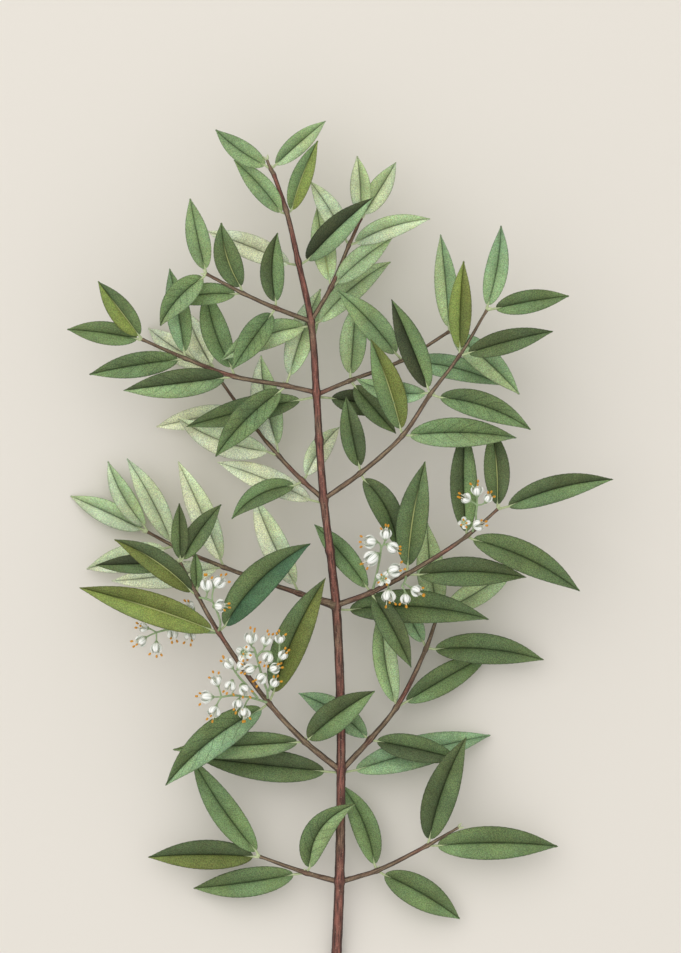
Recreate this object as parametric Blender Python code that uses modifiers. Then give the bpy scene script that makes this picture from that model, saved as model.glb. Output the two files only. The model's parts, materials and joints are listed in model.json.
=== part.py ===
"""A cut flowering spray of phillyrea, lying on its side as it was put down.

One woody stem rises from a flat cut and carries pairs of side shoots. Each shoot has a bare
foot, then opposite pairs of long narrow leaves, folded along the midrib like a shallow keel.
Small trusses of blossom sit at a few of the nodes. The near shoots arch up, the far ones sink
until their leaf tips touch the ground, so the spray rests on the cut end and on those tips.

The frame has +Y towards the tip of the stem, +X to its right and +Z up. The ground is Z = 0
and the origin is under the middle of the spray. All sizes below are in millimetres.
"""

import math
from collections import namedtuple

import bmesh
import bpy
from mathutils import Vector

MM = 0.001

# Clearances and thicknesses
GAP = 0.3
LEAF_THICKNESS = 0.62
LEAF_FOLD = math.radians(22)
LEAF_ARCH = 0.03
LEAF_STATIONS = 6
STALK_LENGTH = 2.8
STALK_RADIUS = 0.5
PEDICEL_RADIUS = 0.42
FLOWER_RADIUS = 2.5
BUD_LENGTH = 1.6

# How far below a shoot's first pair its leafy part begins, and how far a leaf or truss on the
# main stem sits below its knot
FOOT_END = 2.9
SEAT_DROP = 1.7
SEAT_LOWER = 0.9

# The main stem, from the flat cut to just under its last pair of leaves
CUT_Y = -175.0
SMOOTHING_STEPS = 2

Knot = namedtuple("Knot", "x y z radius")
Leaf = namedtuple("Leaf", "knot x y z width bow stalk")
Shoot = namedtuple("Shoot", "name knots leaves")
Truss = namedtuple("Truss", "name seat lines flowers")


def leaf(knot, x, y, z, width, bow=0.0, stalk=STALK_LENGTH):
    """A leaf on a shoot's knot: where its tip is, its width and how far it arcs to its left."""
    return Leaf(knot, x, y, z, width, bow, stalk)


MAIN_STEM = [
    Knot(-2.6, -182.0, 2.2, 2.15),
    Knot(-1.7, -164.0, 2.5, 2.1),
    Knot(-0.2, -128.0, 9.0, 2.0),
    Knot(0.4, -83.2, 17.0, 1.8),
    Knot(0.2, -56.0, 21.0, 1.8),
    Knot(-1.6, -18.0, 25.0, 1.8),
    Knot(-4.0, 4.0, 27.5, 1.6),
    Knot(-6.5, 24.4, 29.0, 1.6),
    Knot(-8.3, 48.0, 31.0, 1.5),
    Knot(-9.4, 66.8, 32.0, 1.5),
    Knot(-11.6, 95.2, 33.0, 1.35),
    Knot(-16.7, 119.2, 33.0, 1.15),
    Knot(-21.5, 139.6, 32.5, 0.95),
    Knot(-26.0, 152.6, 32.0, 0.8),
]

# The last pair of leaves and the bud between them
STEM_TIP = Shoot(
    "leading_tip",
    [Knot(-26.0, 152.6, 32, 0.8), Knot(-27.6, 155.8, 32, 0.75), Knot(-29.0, 159.4, 32, 0.4)],
    [leaf(1, -49.6, 171.6, 35, 8.8, 1.0), leaf(1, -5.6, 175.2, 29, 8.2, 0.3)],
)

# Side shoots, from the tip of the spray downwards. The first knot of each is on the axis of
# the main stem. Left and right are as seen from above with the cut end towards the viewer.
SHOOTS = [
    Shoot(
        "upper_left",
        [
            Knot(-11.6, 95.2, 33, 1.0),
            Knot(-25.6, 100.4, 38, 0.9),
            Knot(-38.8, 106.4, 42, 0.75),
            Knot(-53.2, 114.0, 45, 0.6),
        ],
        [
            leaf(1, -24.8, 130.4, 43, 9.8, 1.8),
            leaf(1, -42.8, 76.0, 44, 11.0, -0.4),
            leaf(2, -47.2, 134.4, 47, 10.6, 1.8),
            leaf(2, -68.8, 102.8, 38, 9.0, -1.4),
            leaf(3, -59.6, 144.0, 50, 9.4, 0.3, 2.0),
            leaf(3, -71.6, 93.2, 46, 10.8, -1.9, 2.0),
        ],
    ),
    Shoot(
        "upper_right",
        [
            Knot(-11.6, 95.2, 33, 0.95),
            Knot(-3.6, 108.8, 33, 0.85),
            Knot(3.6, 125.6, 31, 0.75),
            Knot(8.4, 136.4, 29, 0.6),
        ],
        [
            leaf(1, -9.2, 140.8, 26, 9.6, 0.2),
            leaf(1, 21.2, 128.8, 27, 9.8, 1.0),
            leaf(2, -12.0, 151.2, 27, 9.0, -0.8),
            leaf(2, 36.0, 136.0, 33, 9.2, 1.8),
            leaf(3, 6.8, 161.2, 33, 8.4, -0.5, 2.0),
            leaf(3, 22.4, 158.8, 29, 9.0, -0.3, 2.0),
        ],
    ),
    Shoot(
        "middle_left",
        [
            Knot(-9.4, 66.8, 32, 1.0),
            Knot(-21.6, 69.6, 33, 0.95),
            Knot(-42.0, 73.2, 34, 0.9),
            Knot(-61.6, 80.4, 34.5, 0.8),
            Knot(-78.8, 88.0, 34, 0.6),
        ],
        [
            leaf(1, -7.6, 108.4, 21, 11.0, 1.0, 4.6),
            leaf(1, -49.6, 41.2, 34, 12.0, -1.8),
            leaf(2, -53.2, 108.8, 30, 11.0, 2.0, 4.0),
            leaf(2, -86.4, 67.6, 37, 11.6, 0.0, 4.0),
            leaf(3, -68.0, 116.4, 29, 9.8, -0.4),
            leaf(3, -100.0, 74.0, 33, 10.2, -0.6),
            leaf(4, -96.4, 111.2, 39, 9.8, 0.0, 2.0),
            leaf(4, -108.8, 92.0, 33, 9.4, -0.6, 2.0),
        ],
    ),
    Shoot(
        "middle_right",
        [
            Knot(-9.4, 66.0, 32, 0.95),
            Knot(4.0, 71.6, 30, 0.85),
            Knot(24.8, 79.7, 27, 0.75),
            Knot(43.6, 91.2, 24, 0.6),
        ],
        [
            leaf(1, 6.4, 103.2, 26, 10.8),
            leaf(1, 22.4, 50.4, 32, 9.6),
            leaf(2, -1.2, 107.6, 36, 11.0, -1.2, 4.0),
            leaf(2, 65.2, 69.6, 20, 9.8, 2.2),
            leaf(3, 40.0, 130.0, 30, 9.2, -0.3, 2.0),
            leaf(3, 71.6, 66.0, 27, 11.0, 1.2, 2.0),
        ],
    ),
    Shoot(
        "front_right",
        [
            Knot(-6.5, 24.4, 29, 1.05),
            Knot(8.2, 34.8, 33, 1.0),
            Knot(25.0, 49.8, 38, 0.9),
            Knot(36.0, 66.2, 42, 0.8),
            Knot(47.6, 81.6, 45, 0.7),
            Knot(58.4, 99.6, 47, 0.55),
        ],
        [
            leaf(1, 2.4, 65.2, 36, 9.6, 0.4),
            leaf(1, 22.8, 4.0, 29, 11.0, 3.2),
            leaf(2, 12.0, 88.4, 44, 11.6, -0.9),
            leaf(2, 70.4, 48.8, 41, 12.0, 1.6),
            leaf(3, 20.4, 104.0, 48, 10.8, -0.4),
            leaf(3, 76.0, 52.0, 46, 11.0, 2.6, 4.0),
            leaf(3, 6.4, 72.4, 35, 9.0, 2.2, 2.0),
            leaf(4, 49.2, 119.2, 50, 9.2, 0.6),
            leaf(4, 84.8, 91.2, 48, 9.8, 0.6, 3.6),
            leaf(5, 64.0, 133.2, 53, 9.2, -1.2, 2.0),
            leaf(5, 91.2, 105.2, 49, 9.4, 0.5, 3.6),
        ],
    ),
    Shoot(
        "back_left",
        [
            Knot(-6.5, 24.4, 29, 1.0),
            Knot(-14.8, 31.6, 27, 0.95),
            Knot(-24.4, 41.6, 23, 0.85),
            Knot(-39.6, 60.4, 15, 0.7),
            Knot(-50.8, 76.4, 9, 0.55),
        ],
        [
            leaf(1, 0.0, 53.2, 19, 9.0, 1.4),
            leaf(1, -43.2, 16.4, 33, 9.0, -3.4, 4.0),
            leaf(2, -31.6, 82.0, 16, 12.0, 1.4, 4.6),
            leaf(2, -64.8, 56.8, 15, 12.0, 2.4, 5.0),
            leaf(3, -73.6, 53.2, 6, 9.0, -0.1),
            leaf(4, -61.6, 99.6, 5, 10.4, 0.6, 2.0),
            leaf(4, -76.8, 92.8, 0.3, 10.8, 1.0, 2.0),
        ],
    ),
    Shoot(
        "low_back_left",
        [
            Knot(-1.6, -18.0, 25, 2.0),
            Knot(-16.4, -13.2, 22, 1.0),
            Knot(-46.4, -2.8, 13, 0.85),
            Knot(-66.4, 5.6, 8, 0.75),
            Knot(-76.8, 11.2, 6, 0.55),
        ],
        [
            leaf(1, -34.4, 26.0, 19, 11.2, 1.0, 4.0),
            leaf(2, -64.8, 39.6, 12, 10.6, -0.5, 3.2),
            leaf(2, -91.6, -8.4, 8, 10.4, 0.6),
            leaf(3, -85.2, 40.8, 11, 9.8, -1.0),
            leaf(3, -101.6, -3.6, 3, 11.0, 0.0, 4.0),
            leaf(4, -92.8, 39.6, 6, 8.6, 1.6),
            leaf(4, -108.0, 25.6, 0.3, 9.6, -0.3),
        ],
    ),
    Shoot(
        "low_front_left",
        [
            Knot(0.4, -84.2, 17, 1.3),
            Knot(-14.0, -72.4, 22, 1.15),
            Knot(-28.4, -56.9, 28, 1.0),
            Knot(-48.4, -28.6, 33, 0.9),
            Knot(-56.8, -14.0, 35, 0.8),
            Knot(-63.6, -0.8, 36, 0.55),
        ],
        [
            leaf(1, 14.0, -52.0, 31, 12.6, 1.2, 1.8),
            leaf(1, -66.8, -75.6, 20, 10.8),
            leaf(2, -5.6, -6.8, 34, 13.6, 2.0, 4.8),
            leaf(2, -69.6, -90.0, 27, 13.6, -2.8, 3.6),
            leaf(3, -104.0, -10.8, 31, 12.8, -1.0),
            leaf(3, -11.6, 6.8, 37, 13.8, 3.6, 3.6),
            leaf(4, -90.0, 8.4, 37, 10.2, -2.1),
            leaf(4, -57.6, 3.2, 34, 5.0),
            leaf(5, -64.0, 22.8, 41, 7.0, 0.0, 1.6),
            leaf(5, -47.2, 22.4, 38, 9.0, 0.9, 1.6),
            leaf(5, -97.6, -2.0, 27, 8.0, 0.0, 1.6),
        ],
    ),
    Shoot(
        "low_front_right",
        [
            Knot(-1.6, -18.0, 25, 1.2),
            Knot(12.4, -12.8, 29, 1.05),
            Knot(26.4, -5.6, 33, 0.95),
            Knot(50.4, 9.6, 37, 0.8),
            Knot(62.8, 20.4, 39, 0.55),
        ],
        [
            leaf(1, -10.4, 14.4, 15, 9.6, -0.9),
            leaf(1, 28.4, -42.8, 36, 10.4, 0.8, 1.8),
            leaf(2, 34.0, 39.6, 37, 12.4, 1.2, 3.6),
            leaf(2, 74.4, -6.8, 33, 12.0, 1.8, 5.0),
            leaf(3, 50.0, 54.0, 33, 11.0, 1.0, 1.8),
            leaf(3, 95.6, -12.4, 38, 12.4, 2.6),
            leaf(4, 60.4, 52.8, 32, 10.4, -0.8, 2.0),
            leaf(4, 108.8, 32.2, 43, 10.8, 2.2, 4.4),
        ],
    ),
    Shoot(
        "low_back_right",
        [
            Knot(0.4, -84.2, 17, 1.2),
            Knot(12.0, -71.6, 16, 1.1),
            Knot(22.4, -58.9, 14, 1.0),
            Knot(34.4, -35.2, 10, 0.9),
            Knot(39.2, -21.6, 8.2, 0.66),
        ],
        [
            leaf(1, -16.8, -53.2, 8, 10.6, -2.0, 1.8),
            leaf(1, 48.8, -80.0, 17, 10.6, 0.6),
            leaf(2, 17.6, -16.0, 13, 9.8, 2.2, 2.2),
            leaf(2, 60.8, -36.8, 0.3, 11.2, 0.3, 5.0),
            leaf(3, 24.8, -12.8, 8, 8.0, 1.0),
            leaf(3, 81.6, -40.0, 8, 12.4, 2.2, 3.6),
            leaf(4, 34.8, 15.2, 10, 11.6, 0.8, 1.6),
            leaf(4, 71.2, -0.8, 6, 10.4, -1.2, 3.2),
        ],
    ),
    Shoot(
        "foot_left",
        [
            Knot(-0.2, -128.6, 9, 1.15),
            Knot(-13.6, -124.9, 11, 0.95),
            Knot(-32.0, -118.4, 12, 0.6),
        ],
        [
            leaf(1, 6.4, -97.2, 24, 11.2, 5.6),
            leaf(1, -58.8, -131.2, 4, 11.8, 0.6, 5.0),
            leaf(2, -59.2, -78.4, 18, 11.8, 1.4, 2.6),
            leaf(2, -76.8, -118.8, 9, 12.0, -1.0, 2.6),
        ],
    ),
    Shoot(
        "foot_right",
        [
            Knot(-0.2, -128.6, 9, 1.1),
            Knot(14.8, -124.0, 10, 0.95),
            Knot(34.8, -114.0, 13, 0.8),
            Knot(47.2, -106.8, 15, 0.45),
        ],
        [
            leaf(1, 0.4, -89.6, 6, 10.6, -2.4),
            leaf(1, 48.0, -143.6, 5, 12.8, 1.2, 3.4),
            leaf(2, 50.4, -70.4, 24, 13.4, 1.8),
            leaf(2, 87.2, -114.4, 10, 13.6, 1.3, 4.0),
        ],
    ),
]

# Leaves that sit straight on the main stem: the stem's knot, the tip, width, arc and stalk
STEM_LEAVES = {
    "leaf_high_left": leaf(12, -42.4, 159.6, 28, 9.0, -0.5, 2.4),
    "leaf_high_right": leaf(12, -8.8, 167.2, 37, 8.6, 0.8, 1.4),
    "leaf_upper_left": leaf(11, -53.2, 131.2, 30, 10.2, -0.6, 2.6),
    "leaf_upper_right": leaf(11, 13.2, 144.4, 43, 10.8, 0.8, 2.6),
    "leaf_shoulder_left": leaf(10, -47.2, 79.6, 38, 11.0, -2.6, 1.0),
    "leaf_shoulder_right": leaf(10, 20.4, 119.2, 15, 10.4, 2.0, 2.4),
    "leaf_middle_left": leaf(9, -61.6, 53.2, 22, 10.8, -0.8, 4.8),
    "leaf_middle_right": leaf(9, 22.0, 60.8, 20, 10.4, 0.0, 4.2),
    "leaf_waist_left": leaf(7, -49.2, 39.2, 12, 10.4, -1.0, 4.2),
    "leaf_low_right": leaf(5, 59.6, -23.6, 22, 13.6, 3.2, 3.0),
    "leaf_fork_left": leaf(3, -58.0, -78.8, 10, 13.0, 0.0, 4.2),
    "leaf_fork_right": leaf(3, 60.4, -70.0, 2, 13.0, 1.0, 3.8),
}

# Trusses of blossom: branching stalks, the first point of each on its parent, and the flowers
TRUSSES = [
    Truss(
        "blossom_low_left",
        2.4,
        [
            [
                (-48.6, -28.7, 32),
                (-56, -28.5, 29),
                (-64, -27.2, 27),
                (-70.8, -27.6, 26),
                (-73.2, -29.2, 25.8),
            ],
            [(-56, -28.5, 29), (-59.0, -22.0, 28.4)],
        ],
        [
            (-78.2, -26.8, 26),
            (-79.2, -32.0, 26),
            (-73.2, -34.8, 26),
            (-66.8, -30.0, 25.6),
            (-59.8, -30.8, 26),
            (-59.6, -18.4, 27.6),
        ],
    ),
    Truss(
        "blossom_mid_left",
        2.2,
        [
            [(-48.4, -28.6, 33), (-47.6, -25.6, 36), (-48.8, -20.8, 39.5), (-50.8, -16.2, 41)],
        ],
        [(-53.0, -9.8, 42.2), (-48.2, -8.8, 42.6), (-48.0, -18.0, 42.8)],
    ),
    Truss(
        "blossom_fork_left",
        2.8,
        [
            [
                (-28.4, -56.9, 28),
                (-30.4, -54.8, 32),
                (-34, -54.6, 34),
                (-40, -54.2, 35),
                (-47.2, -54.4, 35),
            ],
            [(-34, -54.6, 34), (-36.4, -51.6, 35.4), (-39.2, -47.6, 36.4), (-42, -44, 37)],
            [
                (-30.4, -54.8, 32),
                (-29.4, -50, 36),
                (-31.2, -45.6, 38.8),
                (-33.2, -38.4, 40.4),
                (-34, -35, 41),
            ],
            [(-29.4, -50, 36), (-27.2, -48.4, 38.6), (-26, -44.8, 40), (-24.4, -38.6, 41)],
        ],
        [
            (-35.4, -31.0, 41.8),
            (-29.4, -32.0, 41.8),
            (-24.0, -31.4, 41.8),
            (-38.2, -36.8, 41.4),
            (-28.6, -38.6, 42.2),
            (-22.8, -37.8, 42),
            (-44.2, -41.2, 38.6),
            (-39.2, -41.8, 39.2),
            (-35.8, -43.2, 41),
            (-26.2, -43.0, 42.4),
            (-31.2, -46.8, 41.4),
            (-26.2, -48.8, 41),
            (-49.2, -48.0, 35.8),
            (-43.6, -49.8, 37.6),
            (-53.0, -54.4, 35.2),
            (-38.2, -51.4, 38.6),
            (-50.0, -60.0, 35.6),
            (-40.6, -57.2, 36.4),
            (-38.0, -60.6, 35.8),
        ],
    ),
    Truss(
        "blossom_low_right",
        2.6,
        [
            [(12.4, -12.8, 29), (13.6, -9.6, 32.4), (15.2, -2.4, 37.2), (16.4, 5, 40.2)],
        ],
        [
            (18.2, 10.4, 41.8),
            (12.2, 7.4, 41.6),
            (20.8, 5.2, 41.8),
            (12.6, 1.0, 41),
            (21.6, -4.0, 40.4),
            (17.2, -7.2, 39.2),
        ],
    ),
    Truss(
        "blossom_under_right",
        2.2,
        [
            [(26.4, -5.6, 33), (26.2, -8.4, 35.2), (25.0, -10.8, 36.6)],
        ],
        [(19.4, -14.0, 37.4), (26.0, -15.2, 37.2), (30.2, -12.0, 37.2)],
    ),
    Truss(
        "blossom_far_right",
        1.8,
        [
            [(53.4, 12.2, 37.5), (54.0, 15.2, 41), (54.2, 19, 42.4), (54.6, 22, 43.2)],
        ],
        [
            (54.6, 27.6, 44.2),
            (50.4, 24.6, 44),
            (58.8, 24.6, 44),
            (49.4, 15.0, 43.2),
            (56.4, 15.0, 43.8),
        ],
    ),
]


def clear_scene():
    for item in list(bpy.data.objects):
        bpy.data.objects.remove(item, do_unlink=True)


def make_material(name, colour, roughness):
    material = bpy.data.materials.new(name)
    material.use_nodes = True
    shader = material.node_tree.nodes["Principled BSDF"]
    shader.inputs["Base Color"].default_value = (*colour, 1.0)
    shader.inputs["Roughness"].default_value = roughness
    shader.inputs["Metallic"].default_value = 0.0
    material.diffuse_color = (*colour, 1.0)
    return material


def new_collection(name):
    collection = bpy.data.collections.new(name)
    bpy.context.scene.collection.children.link(collection)
    return collection


def object_of(name, mesh, collection):
    item = bpy.data.objects.new(name, mesh)
    collection.objects.link(item)
    return item


def evaluated_mesh(item):
    """The object's mesh with its modifiers applied, or a curve's mesh with its caps welded."""
    depsgraph = bpy.context.evaluated_depsgraph_get()
    mesh = bpy.data.meshes.new_from_object(item.evaluated_get(depsgraph))
    bm = bmesh.new()
    bm.from_mesh(mesh)
    bmesh.ops.remove_doubles(bm, verts=bm.verts, dist=1e-6)
    bmesh.ops.recalc_face_normals(bm, faces=bm.faces)
    bm.to_mesh(mesh)
    bm.free()
    return mesh


def place(knot):
    return Vector((knot.x, knot.y, knot.z)) * MM


def smooth_path(points, radii, steps=SMOOTHING_STEPS):
    """Points and radii along a smooth curve through the given ones, ends included."""
    runs = [(b - a).normalized() for a, b in zip(points, points[1:])]
    headings = [runs[0]] + [(a + b).normalized() for a, b in zip(runs, runs[1:])] + [runs[-1]]
    path = [(points[0], radii[0])]
    for i in range(len(points) - 1):
        a, b = points[i], points[i + 1]
        span = (b - a).length
        for k in range(1, steps + 1):
            t = k / steps
            out = headings[i] * span * t * (1 - t) ** 2
            into = headings[i + 1] * span * t * t * (t - 1)
            blend = t * t * (3 - 2 * t)
            path.append((a.lerp(b, blend) + out + into, radii[i] + (radii[i + 1] - radii[i]) * t))
    return path


def tube(name, path, rings, collection):
    """A round limb along a path of (point, radius in mm), as a closed mesh object."""
    curve = bpy.data.curves.new(name, "CURVE")
    curve.dimensions = "3D"
    curve.bevel_depth = MM
    curve.bevel_resolution = rings
    curve.use_fill_caps = True
    line = curve.splines.new("POLY")
    line.points.add(len(path) - 1)
    for point, (place_at, radius) in zip(line.points, path):
        point.co = (*place_at, 1.0)
        point.radius = radius
    item = object_of(name, curve, collection)
    mesh = evaluated_mesh(item)
    bpy.data.objects.remove(item, do_unlink=True)
    bpy.data.curves.remove(curve)
    return object_of(name, mesh, collection)


def blade_share(t):
    """The half width of a blade at t along it, as a share of its greatest half width."""
    return math.sin(math.pi * min(t, 1.0) ** 0.8) ** (0.7 + 0.3 * t**3) if 0 < t < 1 else 0.0


class Midrib:
    """The line a blade is built on, from its foot to its tip, arching sideways and upwards."""

    def __init__(self, foot, tip, bow):
        self.foot = foot
        self.along = tip - foot
        self.left = Vector((0, 0, 1)).cross(self.along).normalized()
        self.up = self.along.cross(self.left).normalized()
        self.bow = bow * MM
        self.arch = LEAF_ARCH * self.along.length

    def point(self, t):
        swell = 4 * t * (1 - t)
        return self.foot + self.along * t + self.left * self.bow * swell + self.up * self.arch * swell

    def across(self, t):
        """The unit vectors to the left and upwards, square to the midrib at t."""
        turn = 4 * (1 - 2 * t)
        heading = self.along + self.left * self.bow * turn + self.up * self.arch * turn
        left = self.up.cross(heading).normalized()
        return left, heading.cross(left).normalized()


def blade(name, midrib, width, collection):
    """A leaf blade: two halves that rise from the midrib, pointed at both ends."""
    bm = bmesh.new()
    bmesh.ops.create_grid(bm, x_segments=LEAF_STATIONS, y_segments=2, size=1.0)
    for vert in bm.verts:
        share = (vert.co.x + 1) / 2
        t = 0.55 * share + 0.45 * (1 - math.cos(math.pi * share)) / 2
        side = round(vert.co.y)
        left, up = midrib.across(t)
        reach = side * width * MM / 2 * blade_share(t)
        rise = abs(reach) * math.sin(LEAF_FOLD)
        vert.co = midrib.point(t) + left * reach + up * rise
    bmesh.ops.remove_doubles(bm, verts=bm.verts, dist=1e-6)
    mesh = bpy.data.meshes.new(name)
    bm.to_mesh(mesh)
    bm.free()
    item = object_of(name, mesh, collection)
    skin = item.modifiers.new("thickness", "SOLIDIFY")
    skin.thickness = LEAF_THICKNESS * MM
    skin.offset = 0.0
    solid = object_of(name, evaluated_mesh(item), collection)
    bpy.data.objects.remove(item, do_unlink=True)
    return solid


def leaf_pieces(root, spec, collection):
    """A leaf on a root point: its stalk, which runs on under the midrib, and its blade."""
    tip = Vector((spec.x, spec.y, spec.z)) * MM
    towards = (tip - root).normalized()
    foot = root + towards * spec.stalk * MM
    midrib = Midrib(foot, tip, spec.bow)
    path = [(root, STALK_RADIUS * 1.1), (midrib.point(0.14), STALK_RADIUS * 0.75)]
    return [tube("stalk", path, 0, collection), blade("blade", midrib, spec.width, collection)]


def fuse(name, pieces, collection):
    """One closed solid from pieces that run into each other. The first is the body."""
    body = pieces[0]
    others = new_collection(name + "_pieces")
    for piece in pieces[1:]:
        for owner in list(piece.users_collection):
            owner.objects.unlink(piece)
        others.objects.link(piece)
    union = body.modifiers.new("union", "BOOLEAN")
    union.operation = "UNION"
    union.operand_type = "COLLECTION"
    union.collection = others
    union.solver = "EXACT"
    result = object_of(name, evaluated_mesh(body), collection)
    for piece in pieces:
        bpy.data.objects.remove(piece, do_unlink=True)
    bpy.data.collections.remove(others)
    return result


def finish(item, material):
    """Names, colours and shades one finished sub-part."""
    item.data.name = item.name
    item.data.materials.clear()
    item.data.materials.append(material)
    item.data.shade_smooth()
    item.data.set_sharp_from_angle(angle=math.radians(40))
    return item


def stem_blank(extra, rings, collection):
    """The main stem's round length, extra millimetres thicker all round, before it is cut."""
    path = smooth_path([place(k) for k in MAIN_STEM], [k.radius + extra for k in MAIN_STEM])
    return tube("stem_blank", path, rings, collection)


def main_stem(collection, material):
    """The whole main stem, cut off square at its foot."""
    stem = stem_blank(0.0, 3, collection)
    bm = bmesh.new()
    bm.from_mesh(stem.data)
    geometry = bm.verts[:] + bm.edges[:] + bm.faces[:]
    cut = bmesh.ops.bisect_plane(
        bm,
        geom=geometry,
        plane_co=(0, CUT_Y * MM, 0),
        plane_no=(0, -1, 0),
        clear_outer=True,
    )
    rim = [e for e in cut["geom_cut"] if isinstance(e, bmesh.types.BMEdge)]
    bmesh.ops.contextual_create(bm, geom=rim)
    bmesh.ops.recalc_face_normals(bm, faces=bm.faces)
    bm.to_mesh(stem.data)
    bm.free()
    stem.name = "main_stem"
    return finish(stem, material)


def foot_point(shoot, back):
    """The point on a shoot's bare foot that many millimetres below its first pair."""
    stem, first = place(shoot.knots[0]), place(shoot.knots[1])
    return first + (stem - first).normalized() * back * MM


def bough(shoot, stem_cutter, collection, material):
    """A shoot's bare foot, cut to fit round the main stem with a small gap."""
    radii = [shoot.knots[0].radius, shoot.knots[1].radius]
    path = smooth_path([place(shoot.knots[0]), foot_point(shoot, FOOT_END + GAP)], radii)
    limb = tube("limb", path, 1, collection)
    cut = limb.modifiers.new("fit", "BOOLEAN")
    cut.operation = "DIFFERENCE"
    cut.object = stem_cutter
    cut.solver = "EXACT"
    result = object_of("bough_" + shoot.name, evaluated_mesh(limb), collection)
    bpy.data.objects.remove(limb, do_unlink=True)
    return finish(result, material)


def foliage(shoot, collection, material):
    """The leafy part of a shoot: its twig with the leaves of every pair fused on."""
    points = [foot_point(shoot, FOOT_END)] + [place(k) for k in shoot.knots[1:]]
    radii = [shoot.knots[1].radius] + [k.radius for k in shoot.knots[1:]]
    path = smooth_path(points, radii)
    onward = (points[-1] - points[-2]).normalized()
    path.append((points[-1] + onward * BUD_LENGTH * MM, radii[-1] * 0.5))
    pieces = [tube("twig", path, 1, collection)]
    for spec in shoot.leaves:
        pieces += leaf_pieces(place(shoot.knots[spec.knot]), spec, collection)
    return finish(fuse("foliage_" + shoot.name, pieces, collection), material)


def stem_leaf(name, spec, collection, material):
    """One leaf that sits on the main stem, its stalk just clear of the bark."""
    knot = MAIN_STEM[spec.knot]
    below = (place(MAIN_STEM[spec.knot - 1]) - place(knot)).normalized()
    seat = place(knot) + below * SEAT_DROP * MM - Vector((0, 0, SEAT_LOWER * MM))
    clear = knot.radius + GAP + STALK_RADIUS
    towards = Vector((spec.x, spec.y, spec.z)) * MM - seat
    aside = (towards - below * towards.dot(below)).normalized()
    pieces = leaf_pieces(seat + aside * clear * MM, spec, collection)
    return finish(fuse(name, pieces, collection), material)


def closest_on(lines, point):
    """The nearest point to a flower on the stalks of its truss, a little below it."""
    found = []
    for line in lines:
        for a, b in zip(line, line[1:]):
            run = b - a
            share = max(0.0, min(1.0, (point - a).dot(run) / run.length_squared - 0.25))
            spot = a + run * share
            found.append(((point - spot).length, tuple(spot)))
    return Vector(min(found)[1])


def blossom(truss, collection, material):
    """A truss: branching stalks with a round solid for each flower."""
    lines = [[Vector(p) * MM for p in line] for line in truss.lines]
    first = lines[0]
    first[0] = first[0] + (first[1] - first[0]).normalized() * truss.seat * MM
    pieces = []
    for line in lines:
        path = [(point, PEDICEL_RADIUS * 1.2) for point in line]
        pieces.append(tube("stalk", path, 0, collection))
    for spot in truss.flowers:
        centre = Vector(spot) * MM
        path = [(closest_on(lines, centre), PEDICEL_RADIUS), (centre, PEDICEL_RADIUS)]
        pieces.append(tube("pedicel", path, 0, collection))
        bm = bmesh.new()
        bmesh.ops.create_icosphere(bm, subdivisions=1, radius=FLOWER_RADIUS * MM)
        bmesh.ops.translate(bm, verts=bm.verts, vec=centre)
        mesh = bpy.data.meshes.new("flower")
        bm.to_mesh(mesh)
        bm.free()
        pieces.append(object_of("flower", mesh, collection))
    return finish(fuse(truss.name, pieces, collection), material)


def build():
    clear_scene()
    spray = new_collection("phillyrea")
    guides = new_collection("guides")
    bark = make_material("bark", (0.17, 0.10, 0.075), 0.75)
    leaf_green = make_material("foliage", (0.16, 0.25, 0.11), 0.5)
    white = make_material("blossom", (0.86, 0.88, 0.80), 0.6)

    main_stem(spray, bark)
    cutter = stem_blank(GAP, 3, guides)
    cutter.hide_render = True
    cutter.display_type = "WIRE"
    for shoot in SHOOTS:
        bough(shoot, cutter, spray, bark)
        foliage(shoot, spray, leaf_green)
    foliage(STEM_TIP, spray, leaf_green)
    for name, spec in STEM_LEAVES.items():
        stem_leaf(name, spec, spray, leaf_green)
    for truss in TRUSSES:
        blossom(truss, spray, white)


build()
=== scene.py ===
"""The looks of a cut flowering spray of phillyrea that lies on a pale table.

The stem, its side shoots, every leaf, bud and flower are modelled here, finer than the solids
that they replace and on the same places. Sizes are in millimetres, with +Y towards the tip of
the stem, +X to its right and +Z up from the table. The camera looks straight down.
"""

import json
import math
import random
from collections import namedtuple

import bmesh
import bpy
from mathutils import Matrix, Vector, noise

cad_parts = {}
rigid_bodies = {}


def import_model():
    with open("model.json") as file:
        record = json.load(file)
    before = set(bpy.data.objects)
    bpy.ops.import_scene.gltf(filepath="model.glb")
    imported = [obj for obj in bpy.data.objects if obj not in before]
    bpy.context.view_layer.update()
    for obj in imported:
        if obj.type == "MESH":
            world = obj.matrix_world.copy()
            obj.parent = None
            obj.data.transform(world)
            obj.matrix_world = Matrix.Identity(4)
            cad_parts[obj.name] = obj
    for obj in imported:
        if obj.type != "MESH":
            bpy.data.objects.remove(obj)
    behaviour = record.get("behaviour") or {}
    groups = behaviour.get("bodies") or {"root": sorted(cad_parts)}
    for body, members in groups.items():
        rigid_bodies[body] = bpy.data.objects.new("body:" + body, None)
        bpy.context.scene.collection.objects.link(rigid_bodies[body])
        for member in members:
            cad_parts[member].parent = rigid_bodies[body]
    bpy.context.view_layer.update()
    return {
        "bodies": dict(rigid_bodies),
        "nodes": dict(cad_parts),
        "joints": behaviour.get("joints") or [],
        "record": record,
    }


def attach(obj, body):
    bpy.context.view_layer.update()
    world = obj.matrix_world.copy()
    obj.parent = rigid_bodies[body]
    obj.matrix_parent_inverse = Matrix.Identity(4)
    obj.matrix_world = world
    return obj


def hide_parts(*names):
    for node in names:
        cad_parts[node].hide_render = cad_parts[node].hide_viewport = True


MM = 0.001

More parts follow.
